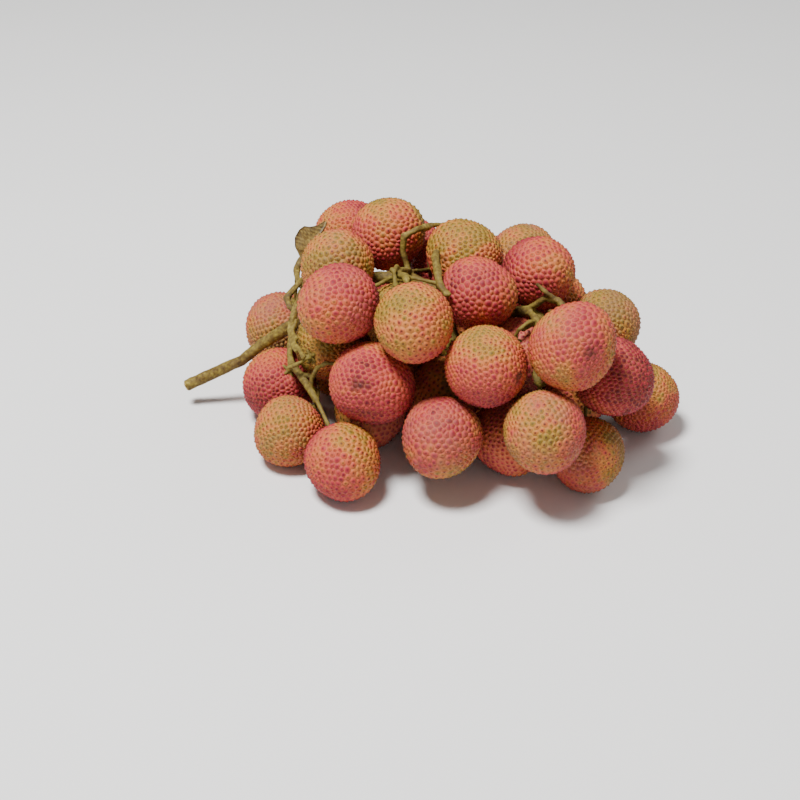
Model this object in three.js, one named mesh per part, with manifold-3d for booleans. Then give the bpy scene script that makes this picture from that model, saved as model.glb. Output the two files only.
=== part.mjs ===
// A bunch of lychees as picked: one branched stalk with its fruits and a dried leaflet, laid down on
// a flat surface.
// Millimetres, +Z up. z = 0 is the surface under the bunch, and the origin is under the middle of it.
// The fruits swell on the twigs, push each other apart and sink on to the surface, as a laid bunch does.
import * as THREE from "three";
import { ConvexHull } from "three/addons/math/ConvexHull.js";
import { mergeVertices } from "three/addons/utils/BufferGeometryUtils.js";
import Module from "manifold-3d";

// Fruits
const FRUIT_WIDTH = { least: 30.5, most: 34.5 };
const FRUIT_STRETCH = { least: 0.0, most: 0.13 }; // how much longer than wide a fruit is
const SHOULDER = 0.09; // how much broader a fruit is on its stalk's side
const PIT_DEPTH = 2.0; // of the dimple round the stalk
const PIT_ANGLE = 0.2; // its half width, in radians from the fruit's centre
const SCALES = 46; // raised scales of the rind on one fruit, larger than life
const SCALE_RISE = 0.55;
const GROOVE_DEPTH = 0.45;

// The stalk, its side twigs and the stalklets that carry the fruits
const MAIN_WAY = [
  [-108, -62, 8],
  [-78, -42, 22],
  [-48, -20, 42],
  [-14, 0, 54],
  [26, 8, 56],
  [58, 4, 48],
];
const MAIN_RADIUS = { start: 2.7, end: 1.7 };
const TWIG_RADIUS = { start: 1.6, end: 1.25 };
const STALKLET_RADIUS = { start: 1.1, end: 0.95 };
const STUB_RADIUS = { start: 1.15, end: 0.95 };
const KNOT = 1.35; // how much a stem swells where it forks
const COLLAR_RADIUS = 1.9; // of the collar that sits in the fruit's dimple
const COLLAR_LENGTH = 1.6;
const BARE_LENGTH = 62; // of the main stalk, before its first side twig
const FRUITS_PER_TWIG = [5, 5, 5, 5, 5, 4, 4, 4, 4, 3];
const TWIG_LENGTH = { first: 46, last: 28 };
const TWIG_ANGLE = 62;
const STALKLET_LENGTH = { least: 13, most: 23 };
const STALKLET_ANGLE = 52;
const STUB_LENGTH = { least: 6, most: 12 };
const TURN = 137.5; // from one side twig to the next, round the stem

// Twigs on the outside that have dropped their fruits: where each leaves the main stalk, and which way
const BARE_TWIGS = [
  { from: 0.34, toward: [-0.2, 0.7, 0.75], length: 30, fork: 10, leafy: true },
  { from: 0.4, toward: [-0.1, -0.9, 0.45], length: 46, fork: 12 },
  { from: 0.52, toward: [-0.35, -0.6, 0.8], length: 40, fork: 13 },
  { from: 0.62, toward: [0.2, 0.85, 0.5], length: 38, fork: 12 },
  { from: 0.7, toward: [0.3, -0.85, 0.45], length: 46, fork: 12 },
  { from: 0.9, toward: [0.75, -0.4, 0.6], length: 36, fork: 12 },
];

// Where each twiglet leaves them: how many points before the tip, and its turn round the twig
const BARE_FORKS = [
  { back: 1, turn: 0.1 },
  { back: 1, turn: 0.62 },
  { back: 3, turn: 0.35 },
];

// The dried leaflet at the end of one of them, folded upwards along its midrib
const LEAFLET_LENGTH = 30;
const LEAFLET_HALF_WIDTH = 8;
const LEAFLET_END = 0.8; // half width left at its two ends
const LEAFLET_FOLD = 52; // degrees that each half stands up
const LEAFLET_THICKNESS = 0.9;
const LEAFLET_WAVE = 0.7; // of its edges
const LEAFLET_STATIONS = 9;
const LEAFLET_GAP = 1.0; // to the twig's end
const LEAFLET_ROOM = { start: 2.6, end: 3.4 }; // radius kept free round its midrib

// How the bunch settles
const SPACING = 6; // between the points of a stem
const CLEARANCE = 1.1; // kept between a stem and a fruit
const FRUIT_GAP = 0.35; // kept between two fruits
const SEAT_GAP = 1.15; // from the dimple's floor to the stalklet's end
const FLOOR_GAP = 0.8; // kept between a stem and the surface
const SINK = 0.9; // how far a fruit's scales are pressed flat where it rests
const FRUIT_TOP = 90; // the fruits are pressed no higher than this
const TWIG_TOP = 87; // and the twigs that lie among them no higher than this
const DOME = new THREE.Vector3(92, 78, 87); // half sizes of the dome that the bare twigs lie under
const SWELL_STEPS = 320;
const FALL_STEPS = 900;
const REST_STEPS = 500;
const FALL = 0.35; // that each fruit drops in a step
const SPREAD = 0.35; // that a point of a bare twig moves outwards in a step
const GATHER = { x: 0.008, y: 0.01 }; // share of its way to the middle that a fruit is pulled in a step
const MAIN_GIVE = 0.05; // how readily the main stalk moves, against 1 for a twig
const FRUIT_GIVE = 0.35;
const SEED = 168;

const LEAST_BEND = 12; // degrees; a point where a stem bends less than this is left out of its solid
const FLOOR_BLOCK = 600;

const DEGREE = Math.PI / 180;
const UP = new THREE.Vector3(0, 0, 1);

// Repeatable random numbers from 0 to 1.
function randomFrom(seed) {
  let state = seed >>> 0;
  return () => {
    state = (state + 0x6d2b79f5) >>> 0;
    let t = Math.imul(state ^ (state >>> 15), 1 | state);
    t = (t + Math.imul(t ^ (t >>> 7), 61 | t)) ^ t;
    return ((t ^ (t >>> 14)) >>> 0) / 4294967296;
  };
}

const random = randomFrom(SEED);
const between = ({ least, most }) => least + (most - least) * random();

// Distance from a fruit's centre to its smooth rind, where cosine is that of the angle from its stalk.
function rindRadius(fruit, cosine) {
  const c = THREE.MathUtils.clamp(cosine, -1, 1);
  const shape = 1 + fruit.stretch * c * c + SHOULDER * c * (1 - c * c);
  const pit = PIT_DEPTH * Math.exp(-((Math.acos(c) / PIT_ANGLE) ** 2));
  return fruit.halfWidth * shape - pit;
}

// The skeleton of the bunch: stem points, the chains that join them, and the fruits at their ends.
const bunch = { points: [], links: [], bends: [], chains: [], fruits: [] };

function addPoint(at, radius, kind) {
  const give = kind === "main" ? MAIN_GIVE : 1;
  bunch.points.push({ at: at.clone(), radius, give, bare: kind === "bare" });
  return bunch.points.length - 1;
}

function addChain(ids, parent, kind) {
  for (let i = 1; i < ids.length; i++) {
    const [a, b] = [bunch.points[ids[i - 1]], bunch.points[ids[i]]];
    bunch.links.push({ a, b, length: a.at.distanceTo(b.at) });
    if (i > 1) bunch.bends.push({ a: bunch.points[ids[i - 2]], b, least: 0.985 * 2 * SPACING });
  }
  const chain = { ids, parent, kind, forks: new Set() };
  if (parent) parent.forks.add(ids[0]);
  bunch.chains.push(chain);
  return chain;
}

// Direction at an angle from a stem, turned round it.
function leaving(along, angle, turn) {
  const side = new THREE.Vector3().crossVectors(along, UP).normalize();
  const over = new THREE.Vector3().crossVectors(side, along);
  const out = side.multiplyScalar(Math.cos(turn)).addScaledVector(over, Math.sin(turn));
  return along.clone().multiplyScalar(Math.cos(angle)).addScaledVector(out, Math.sin(angle)).normalize();
}

// A chain that grows from a point of its parent in one direction.
function growFrom(parent, index, direction, length, radius, kind) {
  const root = bunch.points[parent.ids[index]];
  const steps = Math.max(2, Math.round(length / SPACING));
  const ids = [parent.ids[index]];
  for (let i = 1; i <= steps; i++) {
    const at = root.at.clone().addScaledVector(direction, (length * i) / steps);
    ids.push(addPoint(at, THREE.MathUtils.lerp(radius.start, radius.end, i / steps), kind));
  }
  return addChain(ids, parent, kind);
}

function directionAt(chain, index) {
  const before = chain.ids[Math.max(0, index - 1)];
  const after = chain.ids[Math.min(chain.ids.length - 1, index + 1)];
  return bunch.points[after].at.clone().sub(bunch.points[before].at).normalize();
}

function growFruit(chain) {
  const count = chain.ids.length;
  const fruit = {
    halfWidth: between(FRUIT_WIDTH) / 2,
    stretch: between(FRUIT_STRETCH),
    end: bunch.points[chain.ids[count - 1]],
    neck: bunch.points[chain.ids[count - 2]],
    own: new Set(chain.ids.slice(count - 2)),
  };
  fruit.seat = rindRadius(fruit, 1) + SEAT_GAP;
  fruit.at = fruit.end.at.clone().addScaledVector(directionAt(chain, count - 1), fruit.seat);
  chain.fruit = fruit;
  bunch.fruits.push(fruit);
}

function growMainStalk() {
  const curve = new THREE.CatmullRomCurve3(MAIN_WAY.map((p) => new THREE.Vector3(...p)));
  const steps = Math.round(curve.getLength() / SPACING);
  const ids = curve
    .getSpacedPoints(steps)
    .map((p, i) => addPoint(p, THREE.MathUtils.lerp(MAIN_RADIUS.start, MAIN_RADIUS.end, i / steps), "main"));
  return addChain(ids, null, "main");
}

function growSideTwigs(main) {
  const first = Math.round(BARE_LENGTH / SPACING);
  const last = main.ids.length - 1;
  FRUITS_PER_TWIG.forEach((fruits, k) => {
    const share = k / (FRUITS_PER_TWIG.length - 1);
    const index = Math.round(THREE.MathUtils.lerp(first, last, share));
    const angle = k === FRUITS_PER_TWIG.length - 1 ? 12 : TWIG_ANGLE;
    const way = leaving(directionAt(main, index), angle * DEGREE, k * TURN * DEGREE);
    const length = THREE.MathUtils.lerp(TWIG_LENGTH.first, TWIG_LENGTH.last, share);
    const twig = growFrom(main, index, way, length, TWIG_RADIUS, "twig");
    growStalklets(twig, fruits, k);
  });
}

// Stalklets leave a side twig in turn from about a third of its length, and its tip ends in a fruit.
function growStalklets(twig, fruits, k) {
  const tip = twig.ids.length - 1;
  for (let j = 0; j < fruits; j++) {
    const atTip = j === fruits - 1;
    const index = atTip ? tip : Math.max(1, Math.round(tip * (0.3 + (0.62 * j) / Math.max(1, fruits - 2))));
    const angle = atTip ? 8 : STALKLET_ANGLE;
    const way = leaving(directionAt(twig, index), angle * DEGREE, (j + k * 0.37) * TURN * DEGREE);
    growFruit(growFrom(twig, index, way, between(STALKLET_LENGTH), STALKLET_RADIUS, "stalklet"));
  }
  const way = leaving(directionAt(twig, 1), STALKLET_ANGLE * DEGREE, (k + 2.4) * TURN * DEGREE);
  growFrom(twig, Math.max(1, tip - 3), way, between(STUB_LENGTH), STUB_RADIUS, "stub");
}

function growBareTwigs(main) {
  for (const { from, toward, length, fork, leafy } of BARE_TWIGS) {
    const index = Math.round(from * (main.ids.length - 1));
    const way = new THREE.Vector3(...toward).normalize();
    const twig = growFrom(main, index, way, length, TWIG_RADIUS, "bare");
    const tip = twig.ids.length - 1;
    const forks = BARE_FORKS.filter(({ back }) => back > 1 || !leafy);
    for (const { back, turn } of forks) {
      const side = leaving(directionAt(twig, tip - back), STALKLET_ANGLE * DEGREE, turn * 2 * Math.PI);
      growFrom(twig, tip - back, side, fork, STUB_RADIUS, "bare");
    }
    if (leafy) growFrom(twig, tip, directionAt(twig, tip), LEAFLET_LENGTH, LEAFLET_ROOM, "leaflet");
  }
}

// Moves two points along the line between them until they are as far apart as asked.
const gap = new THREE.Vector3();
function separate(a, b, distance, onlyIfNearer, stiffness = 1) {
  gap.subVectors(b.at, a.at);
  const now = gap.length();
  if (now < 1e-9 || (onlyIfNearer && now >= distance)) return;
  gap.multiplyScalar((stiffness * (now - distance)) / now / (a.give + b.give));
  a.at.addScaledVector(gap, a.give);
  b.at.addScaledVector(gap, -b.give);
}

const axis = new THREE.Vector3();
function reachToward(fruit, target) {
  axis.subVectors(fruit.end.at, fruit.at).normalize();
  gap.subVectors(target, fruit.at);
  return rindRadius(fruit, axis.dot(gap) / gap.length()) + SCALE_RISE;
}

function keepFruitsApart(swell) {
  bunch.fruits.forEach((a, i) => {
    for (const b of bunch.fruits.slice(i + 1)) {
      if (a.at.distanceToSquared(b.at) > 1600) continue;
      separate(a, b, swell * (reachToward(a, b.at) + reachToward(b, a.at)) + FRUIT_GAP, true);
    }
  });
}

function keepStemsOff(swell) {
  for (const fruit of bunch.fruits) {
    bunch.points.forEach((point, id) => {
      if (fruit.own.has(id) || fruit.at.distanceToSquared(point.at) > 600) return;
      separate(fruit, point, swell * reachToward(fruit, point.at) + point.radius + CLEARANCE, true);
    });
  }
}

function keepStemsApart() {
  const near = 3 * SPACING;
  bunch.points.forEach((a, i) => {
    for (let j = i + 1; j < bunch.points.length; j++) {
      const b = bunch.points[j];
      if (a.home.distanceToSquared(b.home) < near * near) continue;
      if (a.at.distanceToSquared(b.at) < 25) separate(a, b, a.radius + b.radius + 0.8, true);
    }
  });
}

function keepInHeight(swell) {
  for (const fruit of bunch.fruits) {
    const below = fruit.at.clone().addScaledVector(UP, -1);
    const above = fruit.at.clone().addScaledVector(UP, 1);
    const lowest = swell * reachToward(fruit, below) - SINK;
    const highest = FRUIT_TOP - swell * reachToward(fruit, above);
    fruit.at.z = THREE.MathUtils.clamp(fruit.at.z, lowest, highest);
  }
  for (const { at, radius } of bunch.points) {
    at.z = THREE.MathUtils.clamp(at.z, radius + FLOOR_GAP, TWIG_TOP - radius);
  }
}

// Bare twigs come out from between the fruits, as far as a dome over the bunch.
function spreadBareTwigs() {
  for (const { at } of bunch.points.filter(({ bare }) => bare)) {
    at.setLength(at.length() + SPREAD);
    at.divideScalar(Math.max(1, at.clone().divide(DOME).length()));
  }
}

function settleStep(step) {
  const swell = Math.min(1, 0.3 + (0.7 * step) / SWELL_STEPS);
  if (step < FALL_STEPS) {
    for (const fruit of bunch.fruits) {
      fruit.at.z -= FALL;
      fruit.at.x -= GATHER.x * fruit.at.x;
      fruit.at.y -= GATHER.y * fruit.at.y;
    }
  }
  spreadBareTwigs();
  for (const { a, b, least } of bunch.bends) separate(a, b, least, true, 0.5);
  for (const { a, b, length } of bunch.links) separate(a, b, length, false);
  keepFruitsApart(swell);
  keepStemsOff(swell);
  if (step % 4 === 0) keepStemsApart();
  for (const fruit of bunch.fruits) {
    separate(fruit, fruit.neck, fruit.seat + 0.985 * SPACING, true);
    separate(fruit, fruit.end, fruit.seat, false);
  }
  keepInHeight(swell);
}

function settle() {
  for (const fruit of bunch.fruits) fruit.give = FRUIT_GIVE;
  for (const point of bunch.points) point.home = point.at.clone();
  for (let step = 0; step < FALL_STEPS + REST_STEPS; step++) settleStep(step);
}

// One closed mesh from shared vertices and triangles.
function meshOf(vertices, triangles) {
  const geometry = new THREE.BufferGeometry().setFromPoints(vertices);
  return geometry.setIndex(triangles.flat());
}

// Even directions over a sphere, the first towards the stalk and the last away from it.
function scaleDirections() {
  const golden = Math.PI * (3 - Math.sqrt(5));
  return Array.from({ length: SCALES }, (_, i) => {
    const height = 1 - (2 * i) / (SCALES - 1);
    const across = Math.sqrt(Math.max(0, 1 - height * height));
    return new THREE.Vector3(across * Math.cos(i * golden), across * Math.sin(i * golden), height);
  });
}

// A fruit with its stalk along +Z: each scale is a low pyramid between the grooves of the rind.
function fruitGeometry(fruit) {
  const tips = scaleDirections();
  const hull = new ConvexHull().setFromPoints(tips);
  const vertices = tips.map((d) => d.clone().multiplyScalar(rindRadius(fruit, d.z) + SCALE_RISE * (d.z < 1)));
  const cornerOf = new Map(
    hull.faces.map((face, i) => {
      const d = face.normal;
      vertices.push(d.clone().multiplyScalar(rindRadius(fruit, d.z) - GROOVE_DEPTH));
      return [face, tips.length + i];
    }),
  );
  const triangles = [];
  for (const face of hull.faces) {
    let edge = face.edge;
    do {
      const tip = tips.indexOf(edge.tail().point);
      triangles.push([tip, cornerOf.get(edge.twin.face), cornerOf.get(face)]);
      edge = edge.next;
    } while (edge !== face.edge);
  }
  return meshOf(vertices, triangles);
}

// A closed mesh through rings of points, each ring turning anticlockwise as seen from the next one.
function loftGeometry(rings) {
  const sides = rings[0].length;
  const at = (i, k) => i * sides + (k % sides);
  const triangles = [];
  for (let i = 1; i < rings.length; i++) {
    for (let k = 0; k < sides; k++) {
      triangles.push([at(i - 1, k), at(i - 1, k + 1), at(i, k + 1)]);
      triangles.push([at(i - 1, k), at(i, k + 1), at(i, k)]);
    }
  }
  for (let k = 1; k < sides - 1; k++) {
    triangles.push([at(0, 0), at(0, k + 1), at(0, k)]);
    triangles.push([at(rings.length - 1, 0), at(rings.length - 1, k), at(rings.length - 1, k + 1)]);
  }
  return meshOf(rings.flat(), triangles);
}

// Direction along a line of points at each of them.
function directionsAlong(points) {
  const steps = points.slice(1).map((p, i) => p.clone().sub(points[i]).normalize());
  return points.map((_, i) => {
    const [before, after] = [steps[Math.max(0, i - 1)], steps[Math.min(steps.length - 1, i)]];
    return before.clone().add(after).normalize();
  });
}

// A round stem through points, with as little twist as its bends allow.
function stemGeometry(points, radii, sides) {
  let across = new THREE.Vector3(0.36, 0.48, 0.8);
  const rings = directionsAlong(points).map((along, i) => {
    across = across.clone().addScaledVector(along, -across.dot(along)).normalize();
    const over = new THREE.Vector3().crossVectors(along, across);
    return Array.from({ length: sides }, (_, k) => {
      const turn = (2 * Math.PI * k) / sides;
      const out = across.clone().multiplyScalar(Math.cos(turn)).addScaledVector(over, Math.sin(turn));
      return points[i].clone().addScaledVector(out, radii[i]);
    });
  });
  return loftGeometry(rings);
}

const wasm = await Module();
wasm.setup();

function solidFrom(geometry) {
  const bare = geometry.clone();
  bare.deleteAttribute("normal");
  bare.deleteAttribute("uv");
  const merged = mergeVertices(bare, 1e-4);
  return new wasm.Manifold(
    new wasm.Mesh({
      numProp: 3,
      vertProperties: new Float32Array(merged.attributes.position.array),
      triVerts: new Uint32Array(merged.index.array),
    }),
  );
}

function geometryFrom(solid) {
  const { vertProperties, triVerts } = solid.getMesh();
  return new THREE.BufferGeometry()
    .setAttribute("position", new THREE.BufferAttribute(vertProperties, 3))
    .setIndex(new THREE.BufferAttribute(triVerts, 1));
}

// The ends, forks and bends of a chain, which are all the points that its solid needs.
function shapingIds(chain) {
  const at = (id) => bunch.points[id].at;
  const kept = [chain.ids[0]];
  chain.ids.slice(1, -1).forEach((id, i) => {
    const before = at(id).clone().sub(at(kept.at(-1)));
    const after = at(chain.ids[i + 2]).clone().sub(at(id));
    if (chain.forks.has(id) || before.angleTo(after) > LEAST_BEND * DEGREE) kept.push(id);
  });
  return [...kept, chain.ids.at(-1)];
}

// The solid of one chain, thicker where it forks and with a collar where it carries a fruit.
function chainSolid(chain) {
  const ids = shapingIds(chain);
  const points = ids.map((id) => bunch.points[id].at.clone());
  const radii = ids.map((id, i) => {
    const own = i === 0 && chain.parent ? bunch.points[ids[1]].radius : bunch.points[id].radius;
    return chain.forks.has(id) ? own * KNOT : own;
  });
  if (chain.fruit) {
    const last = points.length - 1;
    const back = points[last].clone().sub(chain.fruit.at).setLength(COLLAR_LENGTH);
    points.splice(last, 0, points[last].clone().add(back));
    radii.splice(last, 0, radii[last]);
    radii[last + 1] = COLLAR_RADIUS;
  }
  return solidFrom(stemGeometry(points, radii, chain.kind === "main" ? 8 : 5));
}

function stemSolid() {
  const woody = bunch.chains.filter((chain) => chain.kind !== "leaflet");
  return woody.map(chainSolid).reduce((whole, piece) => whole.add(piece));
}

// The leaflet: a folded section with a waved edge, wide in its middle and pointed at its tip.
function leafletGeometry(chain) {
  const [base, ...others] = chain.ids.map((id) => bunch.points[id].at);
  const start = base.clone().add(others[0].clone().sub(base).setLength(LEAFLET_GAP));
  const points = new THREE.CatmullRomCurve3([start, ...others]).getSpacedPoints(LEAFLET_STATIONS - 1);
  const fold = LEAFLET_FOLD * DEGREE;
  const rings = directionsAlong(points).map((along, i) => {
    const share = i / (LEAFLET_STATIONS - 1);
    const left = new THREE.Vector3().crossVectors(UP, along).normalize();
    const up = new THREE.Vector3().crossVectors(along, left);
    const width = LEAFLET_END + LEAFLET_HALF_WIDTH * Math.sin(Math.PI * share ** 0.8) ** 0.9;
    const section = (side, lift) => {
      const wave = side * LEAFLET_WAVE * Math.sin(4.2 * Math.PI * share) * Math.min(1, width / 4);
      const at = points[i].clone().addScaledVector(left, side * width * Math.cos(fold));
      return at.addScaledVector(up, Math.abs(side) * width * Math.sin(fold) + wave + lift);
    };
    const lift = LEAFLET_THICKNESS / Math.cos(fold);
    const below = [section(0, 0), section(1, 0)];
    return [...below, section(1, lift), section(0, lift), section(-1, lift), section(-1, 0)];
  });
  return loftGeometry(rings);
}

function material(name, color, roughness) {
  return new THREE.MeshStandardMaterial({ name, color, roughness, metalness: 0 });
}

const RIND = material("rind", 0xc4685c, 0.62);
const BARK = material("bark", 0x7d7340, 0.8);
const DRIED_LEAF = material("dried_leaf", 0x7a6a38, 0.75);

// What lies under z = 0, in the frame of a fruit, for pressing the fruit flat where it rests.
function surfaceBlock(mesh) {
  const block = new THREE.BoxGeometry(FLOOR_BLOCK, FLOOR_BLOCK, FLOOR_BLOCK);
  block.translate(0, 0, -FLOOR_BLOCK / 2).applyMatrix4(mesh.matrixWorld.clone().invert());
  return solidFrom(block);
}

function fruitMesh(fruit, index) {
  const mesh = new THREE.Mesh(fruitGeometry(fruit), RIND);
  mesh.name = `fruit_${String(index + 1).padStart(2, "0")}`;
  mesh.position.copy(fruit.at);
  const stalkward = fruit.end.at.clone().sub(fruit.at).normalize();
  mesh.quaternion.setFromUnitVectors(UP, stalkward);
  mesh.rotateZ(random() * 2 * Math.PI);
  mesh.updateMatrixWorld(true);
  const lowest = new THREE.Box3().setFromObject(mesh, true).min.z;
  if (lowest < 0) mesh.geometry = geometryFrom(solidFrom(mesh.geometry).subtract(surfaceBlock(mesh)));
  return mesh;
}

const mainStalk = growMainStalk();
growSideTwigs(mainStalk);
growBareTwigs(mainStalk);
settle();

const lychees = new THREE.Group();
const stem = new THREE.Mesh(geometryFrom(stemSolid()), BARK);
stem.name = "stem";
const midrib = bunch.chains.find(({ kind }) => kind === "leaflet");
const leaflet = new THREE.Mesh(leafletGeometry(midrib), DRIED_LEAF);
leaflet.name = "leaflet";
lychees.add(stem, leaflet);
bunch.fruits.forEach((fruit, i) => lychees.add(fruitMesh(fruit, i)));

const middle = new THREE.Box3().setFromObject(lychees, true).getCenter(new THREE.Vector3());
lychees.position.set(-middle.x, -middle.y, 0);

export default lychees;
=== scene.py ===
"""A bunch of lychees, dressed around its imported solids: rinds, woody twigs, a dried leaflet.

Metres, +Z up. Each piece keeps the place and the form of the solid that it stands for, and the
fine relief of the rinds, the bark and the leaflet is modelled on it.
"""

import logging
import math
from dataclasses import dataclass, field
from enum import Enum

import bmesh
import bpy
import numpy as np
from mathutils import Matrix, Vector, noise


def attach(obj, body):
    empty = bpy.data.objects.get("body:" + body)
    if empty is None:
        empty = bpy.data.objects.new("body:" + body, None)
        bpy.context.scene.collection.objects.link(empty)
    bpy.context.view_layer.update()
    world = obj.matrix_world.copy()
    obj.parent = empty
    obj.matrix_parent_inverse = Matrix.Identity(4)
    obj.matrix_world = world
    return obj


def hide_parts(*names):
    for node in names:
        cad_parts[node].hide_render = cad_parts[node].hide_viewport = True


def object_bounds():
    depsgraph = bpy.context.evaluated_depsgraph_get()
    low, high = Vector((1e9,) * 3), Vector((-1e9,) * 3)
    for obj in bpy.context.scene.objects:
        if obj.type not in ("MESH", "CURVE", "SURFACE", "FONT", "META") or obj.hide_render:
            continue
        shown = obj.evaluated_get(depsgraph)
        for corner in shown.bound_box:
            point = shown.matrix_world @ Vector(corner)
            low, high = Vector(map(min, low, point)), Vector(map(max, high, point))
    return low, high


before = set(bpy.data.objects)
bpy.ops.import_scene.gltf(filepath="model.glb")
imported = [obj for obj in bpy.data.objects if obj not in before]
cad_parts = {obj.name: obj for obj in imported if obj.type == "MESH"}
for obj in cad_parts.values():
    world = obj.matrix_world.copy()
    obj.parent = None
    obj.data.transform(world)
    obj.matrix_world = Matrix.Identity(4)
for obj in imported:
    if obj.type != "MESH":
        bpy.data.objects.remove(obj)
CAD_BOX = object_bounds()

log = logging.getLogger("lychees")

MM = 0.001
FULL_TURN = 2 * math.pi
BODY = "root"
SEED = 7
FRUIT_NODES = sorted(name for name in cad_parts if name.startswith("fruit_"))

Colour = tuple[float, float, float, float]
Place = tuple[float, float, float]
Stops = tuple[tuple[float, str], ...]
Socket = bpy.types.NodeSocket
SocketValue = float | tuple[float, ...] | bpy.types.NodeSocket


class Slot(Enum):
    """The record's material slots."""

    RIND = "rind"
    BARK = "bark"
    DRIED_LEAF = "dried_leaf"


class Level(Enum):
    """Where a point of the rind lies on its scale, from the groove round it up to its tip."""

    GROOVE = 0
    EDGE = 1
    SHOULDER = 2
    TIP = 3


def colour(code: str) -> Colour:
    """Gives a screen colour as linear light.

    Args:
        code: Six hexadecimal digits, red first.

    Returns:
        Red, green, blue and a full alpha.
    """
    parts = [int(code[i : i + 2], 16) / 255 for i in (0, 2, 4)]
    red, green, blue = (p / 12.92 if p <= 0.04045 else ((p + 0.055) / 1.055) ** 2.4 for p in parts)
    return red, green, blue, 1.0


class ShaderTree:
    """A node tree, with short ways to add nodes to it and join them."""

    def __init__(self, tree: bpy.types.NodeTree) -> None:
        """Takes the tree that nodes are added to."""
        self.tree = tree

    def add(
        self,
        kind: str,
        inputs: dict[str | int, SocketValue] | None = None,
        **settings: str | bpy.types.NodeTree,
    ) -> bpy.types.Node:
        """Adds a node.

        Args:
            kind: The node's type, without its ShaderNode prefix.
            inputs: For each input socket a value, or the output socket that feeds it.
            **settings: Properties of the node itself.

        Returns:
            The new node.
        """
        node = self.tree.nodes.new("ShaderNode" + kind)
        for name, value in settings.items():
            setattr(node, name, value)
        for name, value in (inputs or {}).items():
            if isinstance(value, Socket):
                self.tree.links.new(value, node.inputs[name])
            else:
                node.inputs[name].default_value = value
        return node

    def group(self, tree: bpy.types.NodeTree, inputs: dict[str, SocketValue]) -> bpy.types.Node:
        """Places a node group, with its values and links."""
        return self.add("Group", inputs, node_tree=tree)

    def attribute(self, name: str) -> Socket:
        """Gives the socket of a mesh attribute's value."""
        return self.add("Attribute", attribute_name=name).outputs["Fac"]

    def math(self, operation: str, *values: SocketValue) -> Socket:
        """Does one sum of the Math node on sockets and numbers, in order."""
        return self.add("Math", dict(enumerate(values)), operation=operation).outputs[0]

    def scaled(self, value: SocketValue, factor: float, shift: float) -> Socket:
        """Gives a value times a factor, plus a shift."""
        return self.math("MULTIPLY_ADD", value, factor, shift)

    def between(self, value: SocketValue, low: float, high: float) -> Socket:
        """Gives a smooth step from 0 at low to 1 at high."""
        limits = {"Value": value, "From Min": low, "From Max": high}
        return self.add("MapRange", limits, interpolation_type="SMOOTHSTEP").outputs["Result"]

    def mix(self, share: SocketValue, first: SocketValue, second: SocketValue) -> Socket:
        """Mixes two colours, with share of the second one."""
        return self.add("Mix", {0: share, 6: first, 7: second}, data_type="RGBA").outputs[2]

    def ramp(self, value: SocketValue, stops: dict[float, Colour]) -> Socket:
        """Gives the colour of a ramp.

        Args:
            value: Where on the ramp, from 0 to 1.
            stops: The colour at each place on it.

        Returns:
            The colour's socket.
        """
        node = self.add("ValToRGB", {"Fac": value})
        elements = node.color_ramp.elements
        while len(elements) < len(stops):
            elements.new(0.5)
        for element, (place, shade) in zip(elements, sorted(stops.items())):
            element.position = place
            element.color = shade
        return node.outputs["Color"]

    def zones(self, value: SocketValue, stops: Stops) -> Socket:
        """Gives the colour of a ramp whose stops are screen colours."""
        return self.ramp(value, {place: colour(code) for place, code in stops})

    def noise(self, vector: SocketValue, scale: SocketValue, detail: float) -> Socket:
        """Gives a noise from 0 to 1, with scale features to the metre."""
        inputs = {"Vector": vector, "Scale": scale, "Detail": detail}
        return self.add("TexNoise", inputs).outputs["Fac"]


def new_group(
    name: str, inputs: dict[str, str], outputs: dict[str, str]
) -> tuple[ShaderTree, bpy.types.Node]:
    """Starts a shader node group.

    Args:
        name: The group's name.
        inputs: Each input's name and kind, such as Vector.
        outputs: Each output's name and kind.

    Returns:
        The group's tree and its input node.
    """
    tree = bpy.data.node_groups.new(name, "ShaderNodeTree")
    for in_out, sockets in (("INPUT", inputs), ("OUTPUT", outputs)):
        for socket, kind in sockets.items():
            tree.interface.new_socket(socket, in_out=in_out, socket_type="NodeSocket" + kind)
    return ShaderTree(tree), tree.nodes.new("NodeGroupInput")


def close_group(shader: ShaderTree, outputs: dict[str, Socket]) -> bpy.types.NodeTree:
    """Joins a group's results to its outputs.

    Args:
        shader: The group's tree.
        outputs: For each output, the socket that feeds it.

    Returns:
        The finished group.
    """
    end = shader.tree.nodes.new("NodeGroupOutput")
    for name, socket in outputs.items():
        shader.tree.links.new(socket, end.inputs[name])
    return shader.tree


def mottle_group(finer: float = 5.0, low: float = 0.28, high: float = 0.72) -> bpy.types.NodeTree:
    """Builds the uneven tone and grain that every surface here has.

    Args:
        finer: How many times finer the grain is than the tone.
        low: The tone at which the mask starts.
        high: The tone at which it is full.

    Returns:
        A group with Vector and Scale in, and a Mask from 0 to 1 and a Height out.
    """
    shader, start = new_group(
        "mottle", {"Vector": "Vector", "Scale": "Float"}, {"Mask": "Float", "Height": "Float"}
    )
    vector, scale = start.outputs["Vector"], start.outputs["Scale"]
    broad = shader.noise(vector, scale, 4.0)
    grain = shader.noise(vector, shader.math("MULTIPLY", scale, finer), 3.0)
    height = shader.scaled(broad, 0.5, shader.math("MULTIPLY", grain, 0.5))
    return close_group(shader, {"Mask": shader.between(broad, low, high), "Height": height})


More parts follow.
